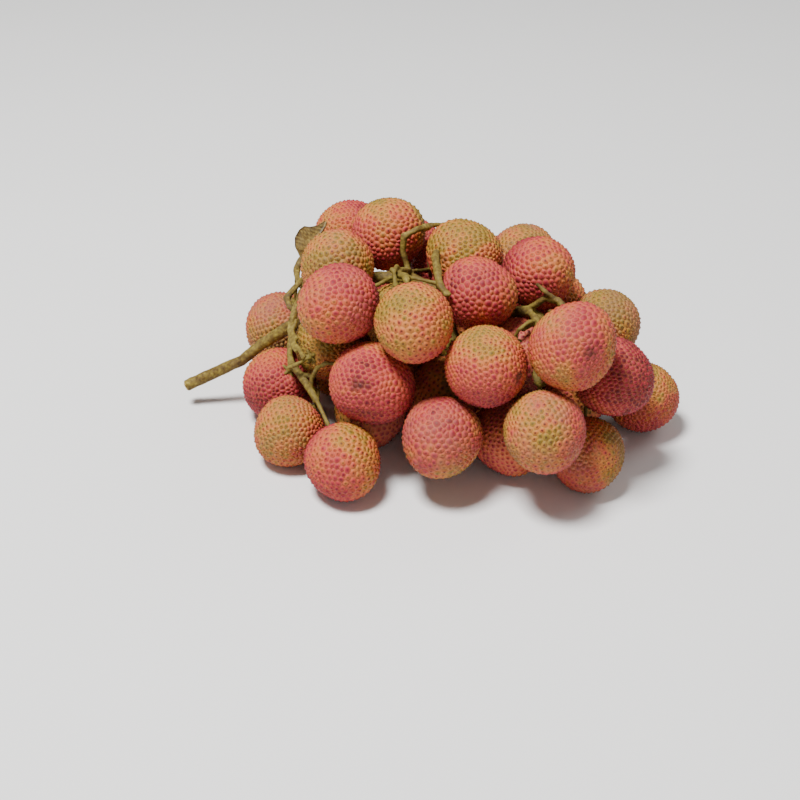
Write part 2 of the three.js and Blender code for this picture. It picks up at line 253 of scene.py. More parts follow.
def spots_group(
    finer: float = 4.0, ragged_by: float = 0.25, least: float = 0.12, soft: float = 0.08
) -> bpy.types.NodeTree:
    """Builds the scattered spots that are scars on a rind and pale pores on bark.

    Args:
        finer: How many times finer the raggedness is than the spots.
        ragged_by: How far it moves their edges.
        least: What is added to the size, to make up for the raggedness.
        soft: How wide a spot's edge is.

    Returns:
        A group with Vector, Scale and Size in, and a Mask out.
    """
    shader, start = new_group(
        "spots", {"Vector": "Vector", "Scale": "Float", "Size": "Float"}, {"Mask": "Float"}
    )
    vector, scale = start.outputs["Vector"], start.outputs["Scale"]
    ragged = shader.noise(vector, shader.math("MULTIPLY", scale, finer), 3.0)
    cells = shader.add("TexVoronoi", {"Vector": vector, "Scale": scale}).outputs["Distance"]
    edge = shader.scaled(ragged, ragged_by, cells)
    limit = shader.math("ADD", start.outputs["Size"], least)
    depth = shader.math("SUBTRACT", limit, edge)
    return close_group(shader, {"Mask": shader.between(depth, 0.0, soft)})


def dust_group(low: float = 0.3, high: float = 0.75) -> bpy.types.NodeTree:
    """Builds the thin dry film that pales a surface unevenly.

    Args:
        low: The cloudiness at which the film starts.
        high: The cloudiness at which it is full.

    Returns:
        A group with Color, Dust, Amount, Vector and Scale in, and a Color out.
    """
    inputs = {"Color": "Color", "Dust": "Color", "Amount": "Float"}
    inputs |= {"Vector": "Vector", "Scale": "Float"}
    shader, start = new_group("dust", inputs, {"Color": "Color"})
    cloud = shader.noise(start.outputs["Vector"], start.outputs["Scale"], 5.0)
    share = shader.math("MULTIPLY", shader.between(cloud, low, high), start.outputs["Amount"])
    mixed = shader.mix(share, start.outputs["Color"], start.outputs["Dust"])
    return close_group(shader, {"Color": mixed})


@dataclass(frozen=True)
class SharedEffects:
    """The shader groups that more than one finish uses."""

    mottle: bpy.types.NodeTree
    spots: bpy.types.NodeTree
    dust: bpy.types.NodeTree


class NewMaterial(ShaderTree):
    """A material in the making, with its Principled BSDF and the coordinates of the object."""

    def __init__(self, name: str) -> None:
        """Starts the material.

        Args:
            name: The material's name.
        """
        self.material = bpy.data.materials.new(name)
        self.material.use_nodes = True
        super().__init__(self.material.node_tree)
        self.surface = self.tree.nodes["Principled BSDF"]
        self.place = self.add("TexCoord").outputs["Object"]

    def effect(
        self, tree: bpy.types.NodeTree, scale: float, **inputs: SocketValue
    ) -> bpy.types.Node:
        """Places a shared effect on the object's coordinates, with scale features to the metre."""
        return self.group(tree, {"Vector": self.place, "Scale": scale, **inputs})

    def feed(self, name: str, socket: Socket) -> None:
        """Joins a result to one of the surface's inputs."""
        self.tree.links.new(socket, self.surface.inputs[name])

    def fix(self, values: dict[str, float | Colour]) -> None:
        """Sets inputs of the surface that are the same all over."""
        for name, value in values.items():
            self.surface.inputs[name].default_value = value

    def bump(self, height: Socket, strength: float, depth: float) -> None:
        """Raises the surface's fine relief.

        Args:
            height: The relief, from 0 to 1.
            strength: How much of it shows.
            depth: How high a rise of 1 is, in metres.
        """
        node = self.add("Bump", {"Height": height, "Strength": strength, "Distance": depth})
        self.feed("Normal", node.outputs["Normal"])


@dataclass(frozen=True)
class RindFinish:
    """The dry rind: gold-green, salmon and crimson zones, pale grooves and brown scale tips."""

    zones: Stops = (
        (0.0, "80691d"),
        (0.12, "9a6d23"),
        (0.28, "b56a2e"),
        (0.45, "b24a2f"),
        (0.64, "aa3438"),
        (0.8, "981f32"),
        (1.0, "671020"),
    )
    groove: str = "ce8a4a"
    tip: str = "401004"
    ripe_tip: str = "400908"
    scar: str = "2a0e04"
    dust: str = "8c5c4e"
    sheen: str = "b88a78"
    mottle_scale: float = 260.0
    grain_scale: float = 1100.0
    scar_scale: float = 62.0
    scar_size: float = 0.05
    dust_scale: float = 90.0
    unevenness: float = 0.14
    patchiness: float = 0.22
    groove_share: float = 0.4
    ripe_from: float = 0.45
    ripe_to: float = 0.75
    raggedness: float = 0.7
    tip_from: float = 0.2
    tip_to: float = 0.74
    tip_spread: float = 0.2
    ripe_fading: float = 0.5
    spot_share: float = 0.5
    scar_share: float = 0.85
    dust_least: float = 0.08
    dust_more: float = 0.55
    bump_depth: float = 0.12 * MM

    def skin(self, new: NewMaterial, mottle: bpy.types.Node, grain: bpy.types.Node) -> Socket:
        """Colours the scales: their zone, set by how ripe they are and by painted top light, the
        grooves between them and their tips.

        Args:
            new: The material.
            mottle: Its uneven tone.
            grain: Its fine grain.

        Returns:
            The colour's socket.
        """
        tip, groove, tint = (new.attribute(name) for name in ("tip", "groove", "scale_tint"))
        uneven = new.scaled(mottle.outputs["Mask"], self.unevenness, -self.unevenness / 2)
        patchy = new.scaled(tint, self.patchiness, -self.patchiness / 2)
        ripeness_and_painted_light = new.math("ADD", new.attribute("ripeness_and_painted_light"), new.math("ADD", uneven, patchy))
        # The zone follows how ripe the rind is together with the painted light stored with it:
        # paler tops, redder undersides.
        zone = new.zones(ripeness_and_painted_light, self.zones)
        net_share = new.math("MULTIPLY", groove, self.groove_share)
        netted = new.mix(net_share, zone, colour(self.groove))
        lowered = new.math("SUBTRACT", tip, self.raggedness / 2)
        ragged = new.scaled(grain.outputs["Height"], self.raggedness, lowered)
        ripe = new.between(ripeness_and_painted_light, self.ripe_from, self.ripe_to)
        fading = new.scaled(ripe, -self.ripe_fading, 1.0)
        brown = new.math("MULTIPLY", new.scaled(tint, self.tip_spread, 1 - self.tip_spread), fading)
        tips = new.mix(ripe, colour(self.tip), colour(self.ripe_tip))
        tip_share = new.math("MULTIPLY", new.between(ragged, self.tip_from, self.tip_to), brown)
        return new.mix(tip_share, netted, tips)

    def build(self, effects: SharedEffects) -> bpy.types.Material:
        """Builds the material.

        Args:
            effects: The shared shader groups.

        Returns:
            The rind's material.
        """
        new = NewMaterial("lychee_rind")
        mottle = new.effect(effects.mottle, self.mottle_scale)
        grain = new.effect(effects.mottle, self.grain_scale)
        scars = new.effect(effects.spots, self.scar_scale, Size=self.scar_size)
        spots = new.math("MULTIPLY", scars.outputs["Mask"], self.spot_share)
        healed = new.math("MAXIMUM", spots, new.attribute("blemish"))
        skin = self.skin(new, mottle, grain)
        scarred = new.mix(new.math("MULTIPLY", healed, self.scar_share), skin, colour(self.scar))
        dry = new.scaled(new.attribute("dryness"), self.dust_more, self.dust_least)
        film = {"Color": scarred, "Dust": colour(self.dust), "Amount": dry}
        dusty = new.effect(effects.dust, self.dust_scale, **film)
        new.feed("Base Color", dusty.outputs["Color"])
        new.feed("Roughness", new.scaled(mottle.outputs["Height"], 0.25, 0.48))
        new.bump(grain.outputs["Height"], 0.6, self.bump_depth)
        new.fix({"Specular IOR Level": 0.25, "Sheen Weight": 0.06, "Sheen Roughness": 0.35})
        new.fix({"Sheen Tint": colour(self.sheen)})
        return new.material


@dataclass(frozen=True)
class BarkFinish:
    """Thin olive-brown bark, greener towards the fruits, with pale pores and a pale cut end."""

    shades: Stops = ((0.0, "3a2610"), (0.35, "5b461a"), (0.7, "7a6829"), (1.0, "a08b42"))
    young: str = "7f7530"
    pore: str = "b3964c"
    cut: str = "c4a362"
    dust: str = "a8966a"
    mottle_scale: float = 150.0
    grain_scale: float = 700.0
    pore_scale: float = 520.0
    pore_size: float = 0.12
    dust_scale: float = 240.0
    contrast: float = 3.0
    darkening: float = 1.05
    young_share: float = 0.6
    pore_share: float = 0.5
    dust_amount: float = 0.1
    bump_depth: float = 0.2 * MM

    def build(self, effects: SharedEffects) -> bpy.types.Material:
        """Builds the material.

        Args:
            effects: The shared shader groups.

        Returns:
            The bark's material.
        """
        new = NewMaterial("twig_bark")
        mottle = new.effect(effects.mottle, self.mottle_scale)
        grain = new.effect(effects.mottle, self.grain_scale)
        pores = new.effect(effects.spots, self.pore_scale, Size=self.pore_size)
        tone = new.scaled(mottle.outputs["Height"], self.contrast, -self.darkening)
        bark = new.zones(tone, self.shades)
        young_share = new.math("MULTIPLY", new.attribute("young"), self.young_share)
        fresh = new.mix(young_share, bark, colour(self.young))
        pore_share = new.math("MULTIPLY", pores.outputs["Mask"], self.pore_share)
        flecked = new.mix(pore_share, fresh, colour(self.pore))
        film = {"Color": flecked, "Dust": colour(self.dust), "Amount": self.dust_amount}
        dusty = new.effect(effects.dust, self.dust_scale, **film).outputs["Color"]
        new.feed("Base Color", new.mix(new.attribute("cut_wood"), dusty, colour(self.cut)))
        new.feed("Roughness", new.scaled(mottle.outputs["Height"], 0.3, 0.5))
        new.bump(grain.outputs["Height"], 0.7, self.bump_depth)
        new.fix({"Specular IOR Level": 0.2})
        return new.material


@dataclass(frozen=True)
class DriedLeafFinish:
    """A dried leaflet: olive brown, with paler veins and a dusty film."""

    blade: Stops = ((0.0, "2e1c06"), (0.5, "604615"), (1.0, "947a34"))
    vein: str = "a08a48"
    dust: str = "9c8a5c"
    mottle_scale: float = 220.0
    dust_scale: float = 300.0
    contrast: float = 3.2
    darkening: float = 1.1
    vein_share: float = 0.7
    dust_amount: float = 0.2
    bump_depth: float = 0.2 * MM

    def build(self, effects: SharedEffects) -> bpy.types.Material:
        """Builds the material.

        Args:
            effects: The shared shader groups.

        Returns:
            The leaflet's material.
        """
        new = NewMaterial("dried_leaflet")
        mottle = new.effect(effects.mottle, self.mottle_scale)
        tone = new.scaled(mottle.outputs["Height"], self.contrast, -self.darkening)
        blade = new.zones(tone, self.blade)
        vein_share = new.math("MULTIPLY", new.attribute("vein"), self.vein_share)
        veined = new.mix(vein_share, blade, colour(self.vein))
        film = {"Color": veined, "Dust": colour(self.dust), "Amount": self.dust_amount}
        dusty = new.effect(effects.dust, self.dust_scale, **film)
        new.feed("Base Color", dusty.outputs["Color"])
        new.feed("Roughness", new.scaled(mottle.outputs["Height"], 0.3, 0.45))
        new.bump(mottle.outputs["Height"], 0.5, self.bump_depth)
        return new.material


@dataclass(frozen=True)
class FloorFinish:
    """The pale, matt floor."""

    darker: Colour = (0.8, 0.795, 0.785, 1)
    lighter: Colour = (0.83, 0.825, 0.815, 1)
    tone_scale: float = 8.0
    roughness: float = 0.85

    def build(self) -> bpy.types.Material:
        """Builds the material.

        Returns:
            The floor's material.
        """
        new = NewMaterial("floor_paper")
        tone = new.noise(new.place, self.tone_scale, 3.0)
        new.feed("Base Color", new.ramp(tone, {0.0: self.darker, 1.0: self.lighter}))
        new.fix({"Roughness": self.roughness})
        return new.material


def vertex_places(mesh: bpy.types.Mesh) -> np.ndarray:
    """Gives where a mesh's vertices are.

    Args:
        mesh: The mesh.

    Returns:
        One row for each vertex, in metres.
    """
    flat = np.zeros(len(mesh.vertices) * 3)
    mesh.vertices.foreach_get("co", flat)
    return flat.reshape(-1, 3)


def node_points(name: str) -> np.ndarray:
    """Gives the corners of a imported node, each once, one row for each."""
    return np.unique(vertex_places(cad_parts[name].data).round(7), axis=0)


def move_vertices(mesh: bpy.types.Mesh, places: np.ndarray) -> None:
    """Moves a mesh's vertices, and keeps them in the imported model's box.

    Args:
        mesh: The mesh.
        places: Where they go, one row for each.
    """
    low, high = (np.array(corner) for corner in CAD_BOX)
    mesh.vertices.foreach_set("co", np.clip(places, low, high).ravel())


def unit_rows(rows: np.ndarray) -> np.ndarray:
    """Gives rows of the same directions, each 1 long."""
    return rows / np.linalg.norm(rows, axis=1)[:, None]


def angle_from(ways: np.ndarray, axis: np.ndarray) -> np.ndarray:
    """Gives the angle between each unit direction and an axis."""
    return np.arccos(np.clip(ways @ axis, -1, 1))


def bell(angle: np.ndarray, width: float) -> np.ndarray:
    """Gives a soft hump that is 1 at an angle of 0 and fades over the width."""
    return np.exp(-((angle / width) ** 2))


def by_level(values: dict[Level, float], levels: np.ndarray) -> np.ndarray:
    """Gives each vertex the value of its level."""
    return np.array([values[level] for level in Level])[levels]


def smooth_field(
    ways: np.ndarray, rng: np.random.Generator, frequency: float, waves: int = 7
) -> np.ndarray:
    """Gives a soft random field over directions.

    Args:
        ways: Unit directions, one row for each.
        rng: The source of random numbers.
        frequency: How fast the field changes.
        waves: How many waves are added up.

    Returns:
        A value for each direction, about -1 to 1.
    """
    total = np.zeros(len(ways))
    for _ in range(waves):
        total += np.sin(ways @ (rng.normal(size=3) * frequency) + rng.uniform(0, FULL_TURN))
    return total / math.sqrt(waves)


def store(mesh: bpy.types.Mesh, name: str, values: np.ndarray) -> None:
    """Keeps a value for each vertex in a mesh.

    Args:
        mesh: The mesh.
        name: The attribute that a material reads.
        values: One number for each vertex.
    """
    attribute = mesh.attributes.new(name, "FLOAT", "POINT")
    attribute.data.foreach_set("value", np.asarray(values, np.float32))


def place_piece(
    mesh: bpy.types.Mesh, name: str, material: bpy.types.Material
) -> bpy.types.Object:
    """Puts a finished mesh in the scene, riding on the bunch.

    Args:
        mesh: The mesh, with its place in its vertices.
        name: The piece's name.
        material: Its finish.

    Returns:
        The piece.
    """
    mesh.materials.clear()
    mesh.materials.append(material)
    mesh.polygons.foreach_set("use_smooth", [True] * len(mesh.polygons))
    piece = bpy.data.objects.new(name, mesh)
    bpy.context.scene.collection.objects.link(piece)
    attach(piece, BODY)
    log.info("%s: %d faces", name, len(mesh.polygons))
    return piece


@dataclass(frozen=True)
class FruitForm:
    """The smooth round that a fruit's solid follows, with the dimple at its stalk."""

    centre: np.ndarray
    stalkward: np.ndarray
    width: float
    stretch: float
    shoulder: float
    dimple: float
    dimple_angle: float = 0.2

    @classmethod
    def of_node(
        cls,
        name: str,
        stem: np.ndarray,
        collar_sides: int = 5,
        rounds: int = 4,
        round_limit: float = 0.93,
        floor_gap: float = 0.02 * MM,
    ) -> "FruitForm":
        """Fits the form to a packed fruit.

        Args:
            name: The fruit's node.
            stem: The corners of the stem's solid.
            collar_sides: How many of them, the nearest ones, are the fruit's collar.
            rounds: How often the centre is corrected.
            round_limit: The cosine to the stalk past which the dimple begins.
            floor_gap: Points lower than this are on the flat spot, and left out.

        Returns:
            The form.
        """
        points = node_points(name)
        centre = points.mean(axis=0)
        nearest = np.argsort(np.linalg.norm(stem - centre, axis=1))
        collar = stem[nearest[:collar_sides]].mean(axis=0)
        for _ in range(rounds):
            stalkward = (collar - centre) / np.linalg.norm(collar - centre)
            away = points - centre
            reach = np.linalg.norm(away, axis=1)
            ways = away / reach[:, None]
            cosine = ways @ stalkward
            round_part = (cosine < round_limit) & (points[:, 2] > floor_gap)
            c = cosine[round_part]
            columns = np.column_stack([np.ones_like(c), c**2, c * (1 - c**2), ways[round_part]])
            found = np.linalg.lstsq(columns, reach[round_part], rcond=None)[0]
            centre = centre + found[3:]
        bottom = reach[np.argmax(cosine)]
        dimple = max(0.0, found[0] + found[1] - bottom)
        return cls(centre, stalkward, found[0], found[1], found[2], dimple)

    def radius(self, ways: np.ndarray) -> np.ndarray:
        """Gives how far the rind is from the centre.

        Args:
            ways: Unit directions, one row for each.

        Returns:
            The distance along each.
        """
        c = np.clip(ways @ self.stalkward, -1, 1)
        dimple = self.dimple * bell(np.arccos(c), self.dimple_angle)
        return self.width + self.stretch * c**2 + self.shoulder * c * (1 - c**2) - dimple

    def turn(self, spin: float) -> Matrix:
        """Gives the turn that takes +Z to the stalk, spun about it."""
        to_stalk = Vector(self.stalkward).to_track_quat("Z", "Y").to_matrix().to_4x4()
        return to_stalk @ Matrix.Rotation(spin, 4, "Z")


@dataclass
class Rind:
    """One fruit: a closed rind of small pointed scales between grooves."""

    node: str
    form: FruitForm
    rng: np.random.Generator
    buried: bool
    tone: float
    dryness: float
    scale_pitch: float
    crowding: float = 1.15
    jitter: float = 0.19
    edge_share: float = 0.8
    shoulder_share: float = 0.42
    heights: dict[Level, float] = field(
        default_factory=lambda: {
            Level.GROOVE: -0.5 * MM,
            Level.EDGE: -0.12 * MM,
            Level.SHOULDER: 0.1 * MM,
            Level.TIP: 0.5 * MM,
        }
    )
    tip_mask: dict[Level, float] = field(
        default_factory=lambda: {
            Level.GROOVE: 0.0,
            Level.EDGE: 0.0,
            Level.SHOULDER: 0.3,
            Level.TIP: 1.0,
        }
    )
    groove_mask: dict[Level, float] = field(
        default_factory=lambda: {
            Level.GROOVE: 1.0,
            Level.EDGE: 0.2,
            Level.SHOULDER: 0.0,
            Level.TIP: 0.0,
        }
    )
    lean: float = 0.012
    bluntest: float = 0.7
    sharpest: float = 1.15
    calming: float = 0.75
    calm_angle: float = 0.3
    swell: float = 0.08 * MM
    swell_frequency: float = 5.0
    # The blush leans to a random side, like a sun-side blush, and shade tilts it downwards. That
    # tilt is painted light: it leaves each fruit's top paler and its underside redder, as if lit
    # from above.
    sunburn_and_painted_light: float = 0.3
    shade: float = 0.4
    patches: float = 0.13
    patch_frequency: float = 2.4
    blotches: float = 0.09
    blotch_frequency: float = 6.0
    stalk_paling: float = 0.1
    paling_angle: float = 0.5
    blemish_count: float = 0.6
    blemish_least: float = 0.07
    blemish_most: float = 0.22
    blemish_raggedness: float = 0.25
    blemish_frequency: float = 14.0
    blemish_faintest: float = 0.5
    blemish_core: float = 1.6

    def scale_count(self) -> int:
        """Gives how many scales cover the fruit."""
        cell = self.scale_pitch**2 * math.sqrt(3) / 2
        return round(4 * math.pi * self.form.width**2 / cell)

    def scatter(self, bm: bmesh.types.BMesh) -> list[bmesh.types.BMVert]:
        """Spreads the middles of the scales over a unit ball, closer together near the stalk.

        Args:
            bm: The mesh that gets them.

        Returns:
            The points.
        """
        count = self.scale_count()
        spacing = math.sqrt(4 * math.pi / count)
        golden = math.pi * (3 - math.sqrt(5))
        points = []
        for i in range(count):
            angle = math.acos(1 - 2 * (i + 0.5) / count)
            crowded = math.pi * (angle / math.pi) ** self.crowding
            slope = Vector((math.sin(crowded), 0, math.cos(crowded)))
            way = Matrix.Rotation(i * golden, 3, "Z") @ slope
            shake = Vector(self.rng.normal(0, self.jitter * spacing, 3))
            points.append(bm.verts.new((way + shake).normalized()))
        return points

    def cells(self, bm: bmesh.types.BMesh) -> list[bmesh.types.BMFace]:
        """Makes one many-sided face for each scale.

        Args:
            bm: An empty mesh.

        Returns:
            The faces.
        """
        points = self.scatter(bm)
        bmesh.ops.convex_hull(bm, input=points)
        joins = bm.edges[:]
        bmesh.ops.poke(bm, faces=bm.faces[:])
        bmesh.ops.rotate_edges(bm, edges=joins, use_ccw=False)
        bmesh.ops.dissolve_verts(bm, verts=points)
        return bm.faces[:]

    def add_rings(
        self,
        bm: bmesh.types.BMesh,
        scales: list[bmesh.types.BMFace],
        level: bmesh.types.BMLayerItem,
    ) -> None:
        """Adds the rings of points round each scale, one ring less on a buried fruit.

        Args:
            bm: The mesh.
            scales: The scales' faces.
            level: The layer that keeps each point's level.
        """
        rings = {Level.EDGE: self.edge_share, Level.SHOULDER: self.shoulder_share / self.edge_share}
        if self.buried:
            rings = {Level.SHOULDER: self.shoulder_share}
        for ring, share in rings.items():
            bmesh.ops.inset_individual(bm, faces=scales, thickness=0)
            for scale in scales:
                middle = scale.calc_center_median()
                for vertex in scale.verts:
                    vertex.co = middle.lerp(vertex.co, share)
                    vertex[level] = ring.value

    def add_tips(
        self,
        bm: bmesh.types.BMesh,
        scales: list[bmesh.types.BMFace],
        level: bmesh.types.BMLayerItem,
        tint: bmesh.types.BMLayerItem,
    ) -> None:
        """Adds the point of each scale, and gives the scale a tint of its own.

        Args:
            bm: The mesh.
            scales: The scales' inner faces.
            level: The layer that keeps each point's level.
            tint: The layer that keeps each point's tint, from -1 to 1.
        """
        for tip in bmesh.ops.poke(bm, faces=scales)["verts"]:
            tip[level] = Level.TIP.value
            tip.co.z -= self.lean
            shade = self.rng.uniform(-1, 1)
            tip[tint] = shade
            for edge in tip.link_edges:
                edge.other_vert(tip)[tint] = shade

    def build(self) -> bpy.types.Mesh:
        """Builds the rind's mesh and its attributes.

        Returns:
            The mesh, in place.
        """
        bm = bmesh.new()
        level = bm.verts.layers.int.new("level")
        tint = bm.verts.layers.float.new("scale_tint")
        scales = self.cells(bm)
        self.add_rings(bm, scales, level)
        self.add_tips(bm, scales, level, tint)
        mesh = bpy.data.meshes.new(self.node)
        bm.transform(self.form.turn(self.rng.uniform(0, FULL_TURN)))
        bm.to_mesh(mesh)
        levels = np.array([vertex[level] for vertex in bm.verts])
        tints = np.array([vertex[tint] for vertex in bm.verts])
        bm.free()
        self.shape(mesh, levels)
        self.colour(mesh, levels, tints)
        return mesh

    def shape(self, mesh: bpy.types.Mesh, levels: np.ndarray) -> None:
        """Moves every vertex out to the rind, with the scales lower round the stalk.

        Args:
            mesh: The mesh, on a unit ball.
            levels: The level of each vertex.
        """
        ways = unit_rows(vertex_places(mesh))
        calm = 1 - self.calming * bell(angle_from(ways, self.form.stalkward), self.calm_angle)
        sharpness = self.rng.uniform(self.bluntest, self.sharpest, len(levels))
        sharp = np.where(levels == Level.TIP.value, sharpness, 1.0)
        swell = self.swell * smooth_field(ways, self.rng, self.swell_frequency)
        rise = by_level(self.heights, levels)
        reach = self.form.radius(ways) + rise * sharp * calm + swell
        move_vertices(mesh, self.form.centre + ways * reach[:, None])
        mesh.update()

    def colour(self, mesh: bpy.types.Mesh, levels: np.ndarray, tints: np.ndarray) -> None:
        """Keeps what the rind's finish reads.

        Args:
            mesh: The mesh, in place.
            levels: The level of each vertex.
            tints: The tint of each vertex's scale, from -1 to 1.
        """
        ways = unit_rows(vertex_places(mesh) - self.form.centre)
        # Painted light: shade tilts the random blush side downwards, so each fruit's top is paler
        # and its underside redder, as if lit from above.
        sun_side_and_painted_light = self.rng.normal(size=3) - (0, 0, self.shade)
        sun_side_and_painted_light /= np.linalg.norm(sun_side_and_painted_light)
        patches = self.patches * smooth_field(ways, self.rng, self.patch_frequency)
        blotches = self.blotches * smooth_field(ways, self.rng, self.blotch_frequency)
        ripeness_and_painted_light = self.tone + self.sunburn_and_painted_light * (ways @ sun_side_and_painted_light) + patches + blotches
        stalk_angle = angle_from(ways, self.form.stalkward)
        ripeness_and_painted_light -= self.stalk_paling * bell(stalk_angle, self.paling_angle)
        store(mesh, "ripeness_and_painted_light", np.clip(ripeness_and_painted_light, 0, 1))
        store(mesh, "tip", by_level(self.tip_mask, levels))
        store(mesh, "groove", by_level(self.groove_mask, levels))
        store(mesh, "scale_tint", 0.5 + 0.5 * tints)
        store(mesh, "dryness", np.full(len(ways), self.dryness))
        store(mesh, "blemish", self.blemishes(ways))

    def blemishes(self, ways: np.ndarray) -> np.ndarray:
        """Gives where the rind has brown, healed bruises.

        Args:
            ways: The direction of each vertex from the fruit's centre.

        Returns:
            A value from 0 to 1 for each vertex.
        """
        worst = np.zeros(len(ways))
        for _ in range(self.rng.poisson(self.blemish_count)):
            middle = self.rng.normal(size=3)
            middle /= np.linalg.norm(middle)
            spread = self.rng.uniform(self.blemish_least, self.blemish_most)
            ragged = self.blemish_raggedness * smooth_field(ways, self.rng, self.blemish_frequency)
            angle = angle_from(ways, middle) * (1 + ragged)
            fade = np.clip(self.blemish_core - self.blemish_core * angle / spread, 0, 1)
            worst = np.maximum(worst, self.rng.uniform(self.blemish_faintest, 1) * fade)
        return worst


@dataclass
class Fruits:
    """All the fruits of the bunch."""

    rind: bpy.types.Material
    tone_least: float = 0.37
    tone_most: float = 0.86
    pitch_least: float = 2.15 * MM
    pitch_most: float = 2.55 * MM
    buried_count: int = 14
    rays: int = 90
    steepest_down: float = -0.3
    forms: list[FruitForm] = field(default_factory=list)

    def openness(self, form: FruitForm, rng: np.random.Generator) -> float:
        """Gives how much of a fruit can be seen from outside the bunch.

        Args:
            form: The fruit's form.
            rng: The source of random numbers.

        Returns:
            The share of ways out of the fruit that no other fruit and no floor closes.
        """
        ways = unit_rows(rng.normal(size=(self.rays, 3)))
        free = ways[:, 2] > self.steepest_down
        for other in self.forms:
            if other is not form:
                offset = other.centre - form.centre
                along = ways @ offset
                aside = np.sqrt(np.maximum(offset @ offset - along**2, 0))
                free &= (along < 0) | (aside > other.width)
        return float(free.mean())

    def build(self) -> None:
        """Builds each fruit in the place of its node, the most hidden ones with fewer faces."""
        rng = np.random.default_rng(SEED)
        stem = node_points("stem")
        self.forms = [FruitForm.of_node(name, stem) for name in FRUIT_NODES]
        openness = [self.openness(form, rng) for form in self.forms]
        limit = sorted(openness)[self.buried_count]
        for name, form, share in zip(FRUIT_NODES, self.forms, openness):
            rind = Rind(
                name,
                form,
                rng,
                buried=share < limit,
                tone=rng.uniform(self.tone_least, self.tone_most),
                dryness=rng.uniform(0, 1) ** 2,
                scale_pitch=rng.uniform(self.pitch_least, self.pitch_most),
            )
            lychee = name.replace("fruit", "lychee")
            piece = place_piece(rind.build(), lychee, self.rind)
            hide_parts(name)


def evaluated_copy(piece: bpy.types.Object) -> bpy.types.Mesh:
    """Takes a piece away and gives its mesh with its modifiers applied.

    Args:
        piece: The piece.

    Returns:
        The mesh.
    """
    bpy.context.view_layer.update()
    shown = piece.evaluated_get(bpy.context.evaluated_depsgraph_get())
    mesh = bpy.data.meshes.new_from_object(shown)
    bpy.data.objects.remove(piece)
    return mesh


def merged_copy(name: str, distance: float = 0.001 * MM) -> bpy.types.Mesh:
    """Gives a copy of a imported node's mesh with its triangles joined up.

    Args:
        name: The node.
        distance: How close the corners are that become one.

    Returns:
        The copy.
    """
    bm = bmesh.new()
    bm.from_mesh(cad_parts[name].data)
    bmesh.ops.remove_doubles(bm, verts=bm.verts[:], dist=distance)
    mesh = bpy.data.meshes.new(name + "_copy")
    bm.to_mesh(mesh)
    bm.free()
    return mesh


@dataclass
class Stem:
    """The stalk with its twigs and stalklets: rounded, knobbly and grained."""

    bark: bpy.types.Material
    forms: list[FruitForm]
    voxel: float = 0.54 * MM
    smoothing: int = 3
    smooth_factor: float = 0.5
    knobs: float = 0.3 * MM
    knob_scale: float = 300.0
    knob_base: float = 0.35
    grain: float = 0.1 * MM
    grain_scale: float = 1100.0
    young_length: float = 9 * MM
    farthest: float = 1.0
    cut_sides: int = 8
    cut_depth: float = 0.35 * MM
    cut_radius: float = 3.2 * MM

    def rounded(self) -> bpy.types.Mesh:
        """Rounds the stem's solid off.

        Returns:
            One fine mesh, in place.
        """
        piece = bpy.data.objects.new("stem_rough", merged_copy("stem"))
        bpy.context.scene.collection.objects.link(piece)
        remesh = piece.modifiers.new("fine", "REMESH")
        remesh.mode = "VOXEL"
        remesh.voxel_size = self.voxel
        smooth = piece.modifiers.new("round", "SMOOTH")
        smooth.factor = self.smooth_factor
        smooth.iterations = self.smoothing
        return evaluated_copy(piece)

    def roughen(self, mesh: bpy.types.Mesh) -> None:
        """Raises knobs and grain on the bark.

        Args:
            mesh: The rounded stem.
        """
        bm = bmesh.new()
        bm.from_mesh(mesh)
        bm.normal_update()
        for vertex in bm.verts:
            knob = noise.noise(vertex.co * self.knob_scale)
            grain = noise.noise(vertex.co * self.grain_scale)
            rise = self.knobs * (self.knob_base + knob) + self.grain * grain
            vertex.co += vertex.normal * rise
        bm.to_mesh(mesh)
        bm.free()
        move_vertices(mesh, vertex_places(mesh))

    def youth(self, places: np.ndarray) -> np.ndarray:
        """Gives how young and green the bark is, from how near a fruit it grew.

        Args:
            places: Where the vertices are.

        Returns:
            A value from 0 to 1 for each vertex.
        """
        nearest = np.full(len(places), self.farthest)
        for form in self.forms:
            end = form.centre + form.stalkward * form.width
            nearest = np.minimum(nearest, np.linalg.norm(places - end, axis=1))
        return np.exp(-nearest / self.young_length)

    def cut_face(self, places: np.ndarray) -> np.ndarray:
        """Gives which vertices lie on the face where the bunch was cut off.

        Args:
            places: Where the vertices are.

        Returns:
            0 or 1 for each vertex.
        """
        corners = node_points("stem")
        cut = corners[np.argsort(corners[:, 0])[: self.cut_sides]]
        middle = cut.mean(axis=0)
        normal = np.linalg.svd(cut - middle)[2][2]
        flat = np.abs((places - middle) @ normal) < self.cut_depth
        near = np.linalg.norm(places - middle, axis=1) < self.cut_radius
        return (flat & near).astype(float)

    def build(self) -> None:
        """Builds the stem in the place of its node."""
        mesh = self.rounded()
        self.roughen(mesh)
        places = vertex_places(mesh)
        store(mesh, "young", self.youth(places))
        store(mesh, "cut_wood", self.cut_face(places))
        piece = place_piece(mesh, "stalk_and_twigs", self.bark)
        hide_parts("stem")


